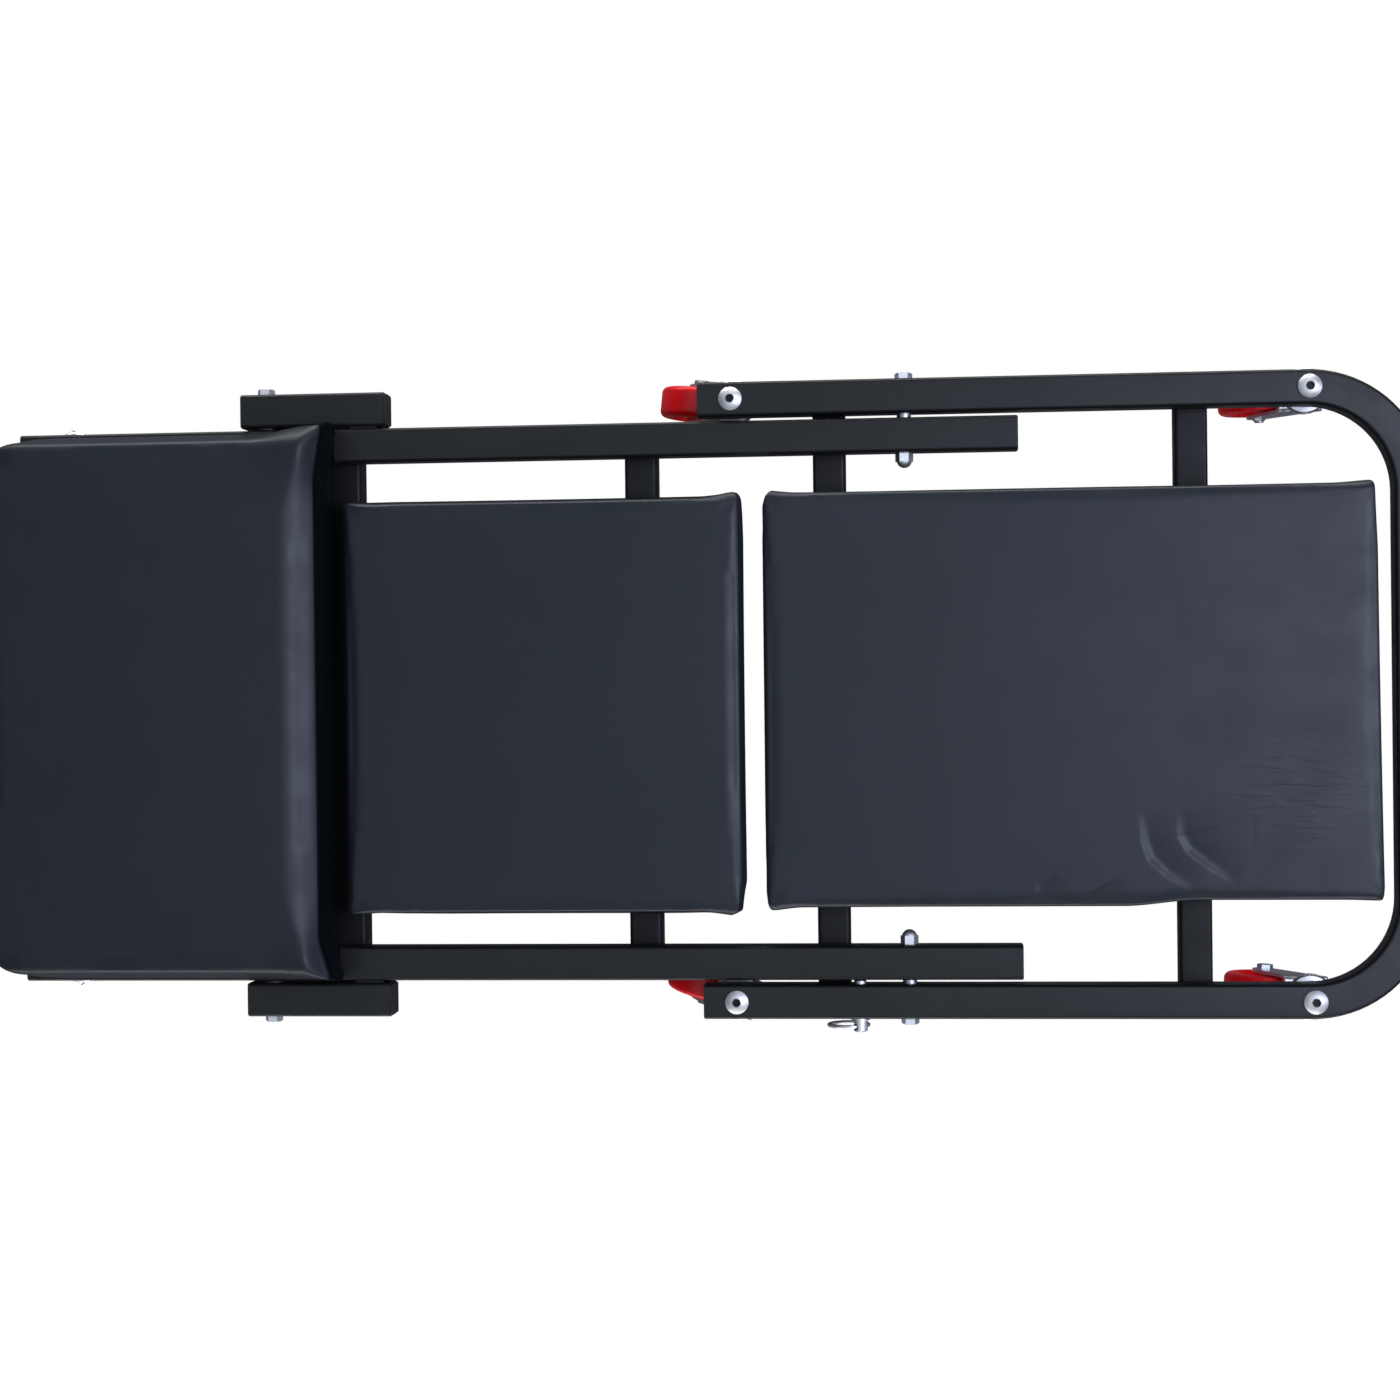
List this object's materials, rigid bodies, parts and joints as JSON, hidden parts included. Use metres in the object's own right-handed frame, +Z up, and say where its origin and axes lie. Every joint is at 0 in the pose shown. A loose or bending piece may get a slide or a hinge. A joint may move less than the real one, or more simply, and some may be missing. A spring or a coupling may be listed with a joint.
{
  "type": "creeper stool",
  "caption": "Folding mechanic's creeper of black square tube on swivel casters with red wheels, three dark vinyl pads, lying flat; it folds up into a seat.",
  "frame": {"origin": "on the floor, at the middle of the part's length and width", "axes": "+X to the closed foot end of the base frame, -X to the seat, +Y to the left side, +Z up"},
  "size_m": [0.9233, 0.4275, 0.138],
  "materials": {
    "frame_paint": "satin charcoal black powder coat",
    "bar_paint": "satin charcoal black powder coat",
    "cap_plastic": "moulded black plastic",
    "board_wood": "bare plywood",
    "vinyl": "dark slate vinyl with a fine grain",
    "zinc_bolt": "bright zinc plate",
    "zinc_sheet": "zinc-plated pressed sheet steel",
    "steel_small": "zinc-plated steel",
    "wheel_red": "glossy red polyurethane"
  },
  "bodies": {
    "base": {"base_frame": "frame_paint", "base_bar_inner": "bar_paint", "base_bar_outer": "bar_paint", "base_end_caps": "cap_plastic", "base_pad_board": "board_wood", "base_pad": "vinyl", "base_pad_screws": "steel_small", "fold_pivot_bolts": "zinc_bolt", "fold_pivot_spacers": "steel_small", "fold_pivot_nuts": "zinc_bolt", "base_caster_bolts": "zinc_bolt", "base_caster_races": "zinc_sheet", "base_caster_balls": "steel_small", "base_caster_nuts": "steel_small"},
    "lock_pin": {"lock_pin": "zinc_bolt"},
    "lock_ring": {"lock_ring": "zinc_bolt"},
    "middle": {"middle_rail_left": "frame_paint", "middle_rail_right": "frame_paint", "middle_bar_inner": "bar_paint", "middle_bar_seat": "bar_paint", "middle_end_caps": "cap_plastic", "link_tubes": "frame_paint", "link_end_caps": "cap_plastic", "link_weld_strips": "bar_paint", "middle_pad_board": "board_wood", "middle_pad": "vinyl", "middle_pad_screws": "steel_small", "seat_pivot_bolts": "zinc_bolt", "seat_pivot_washers": "cap_plastic", "seat_pivot_nuts": "zinc_bolt"},
    "seat": {"seat_tube_left": "frame_paint", "seat_tube_right": "frame_paint", "seat_cross_tubes": "frame_paint", "seat_end_caps": "cap_plastic", "seat_board": "board_wood", "seat_cushion": "vinyl", "seat_screws": "steel_small", "seat_caster_bolts": "zinc_bolt", "seat_caster_races": "zinc_sheet", "seat_caster_balls": "steel_small", "seat_caster_nuts": "steel_small"},
    "swivel_mid_left": {"fork_mid_left": "zinc_sheet", "axle_mid_left": "steel_small"},
    "roller_mid_left": {"wheel_mid_left": "wheel_red"},
    "swivel_mid_right": {"fork_mid_right": "zinc_sheet", "axle_mid_right": "steel_small"},
    "roller_mid_right": {"wheel_mid_right": "wheel_red"},
    "swivel_foot_left": {"fork_foot_left": "zinc_sheet", "axle_foot_left": "steel_small"},
    "roller_foot_left": {"wheel_foot_left": "wheel_red"},
    "swivel_foot_right": {"fork_foot_right": "zinc_sheet", "axle_foot_right": "steel_small"},
    "roller_foot_right": {"wheel_foot_right": "wheel_red"},
    "swivel_seat_left": {"fork_seat_left": "zinc_sheet", "axle_seat_left": "steel_small"},
    "roller_seat_left": {"wheel_seat_left": "wheel_red"},
    "swivel_seat_right": {"fork_seat_right": "zinc_sheet", "axle_seat_right": "steel_small"},
    "roller_seat_right": {"wheel_seat_right": "wheel_red"}
  },
  "joints": [
    {"name": "fold_hinge", "type": "hinge", "parent": "base", "child": "middle", "pos_m": [0.133, 0, 0.076], "axis": [0, 1, 0], "range_deg": [0, 127.5]},
    {"name": "seat_hinge", "type": "hinge", "parent": "middle", "child": "seat", "pos_m": [-0.2845, 0, 0.076], "axis": [0, 1, 0], "range_deg": [-127.5, 0]},
    {"name": "lock_pin_slide", "type": "slide", "parent": "base", "child": "lock_pin", "axis": [0, -1, 0], "range_m": [0, 0.02]},
    {"name": "lock_ring_swing", "type": "hinge", "parent": "lock_pin", "child": "lock_ring", "pos_m": [0.101, -0.211, 0.076], "axis": [0.7771, 0, -0.6293], "range_deg": [-80, 6]},
    {"name": "swivel_mid_left", "type": "hinge", "parent": "base", "child": "swivel_mid_left", "pos_m": [0.022, 0.194, 0.06], "axis": [0, 0, 1], "continuous": true},
    {"name": "swivel_mid_right", "type": "hinge", "parent": "base", "child": "swivel_mid_right", "pos_m": [0.022, -0.194, 0.06], "axis": [0, 0, 1], "continuous": true},
    {"name": "swivel_foot_left", "type": "hinge", "parent": "base", "child": "swivel_foot_left", "pos_m": [0.388, 0.194, 0.06], "axis": [0, 0, 1], "continuous": true},
    {"name": "swivel_foot_right", "type": "hinge", "parent": "base", "child": "swivel_foot_right", "pos_m": [0.388, -0.194, 0.06], "axis": [0, 0, 1], "continuous": true},
    {"name": "swivel_seat_left", "type": "hinge", "parent": "seat", "child": "swivel_seat_left", "pos_m": [-0.42, 0.169, 0.06], "axis": [0, 0, 1], "continuous": true},
    {"name": "swivel_seat_right", "type": "hinge", "parent": "seat", "child": "swivel_seat_right", "pos_m": [-0.42, -0.169, 0.06], "axis": [0, 0, 1], "continuous": true},
    {"name": "roll_mid_left", "type": "hinge", "parent": "swivel_mid_left", "child": "roller_mid_left", "pos_m": [-0.00286, 0.19661, 0.026], "axis": [-0.1045, -0.9945, 0], "continuous": true},
    {"name": "roll_mid_right", "type": "hinge", "parent": "swivel_mid_right", "child": "roller_mid_right", "pos_m": [-0.00203, -0.18711, 0.026], "axis": [-0.2756, -0.9613, 0], "continuous": true},
    {"name": "roll_foot_left", "type": "hinge", "parent": "swivel_foot_left", "child": "roller_foot_left", "pos_m": [0.36301, 0.19313, 0.026], "axis": [0.0349, -0.9994, 0], "continuous": true},
    {"name": "roll_foot_right", "type": "hinge", "parent": "swivel_foot_right", "child": "roller_foot_right", "pos_m": [0.36303, -0.19269, 0.026], "axis": [-0.0523, -0.9986, 0], "continuous": true},
    {"name": "roll_seat_left", "type": "hinge", "parent": "swivel_seat_left", "child": "roller_seat_left", "pos_m": [-0.39835, 0.1565, 0.026], "axis": [0.5, 0.866, 0], "continuous": true},
    {"name": "roll_seat_right", "type": "hinge", "parent": "swivel_seat_right", "child": "roller_seat_right", "pos_m": [-0.39952, -0.15466, 0.026], "axis": [-0.5736, 0.8192, 0], "continuous": true}
  ]
}
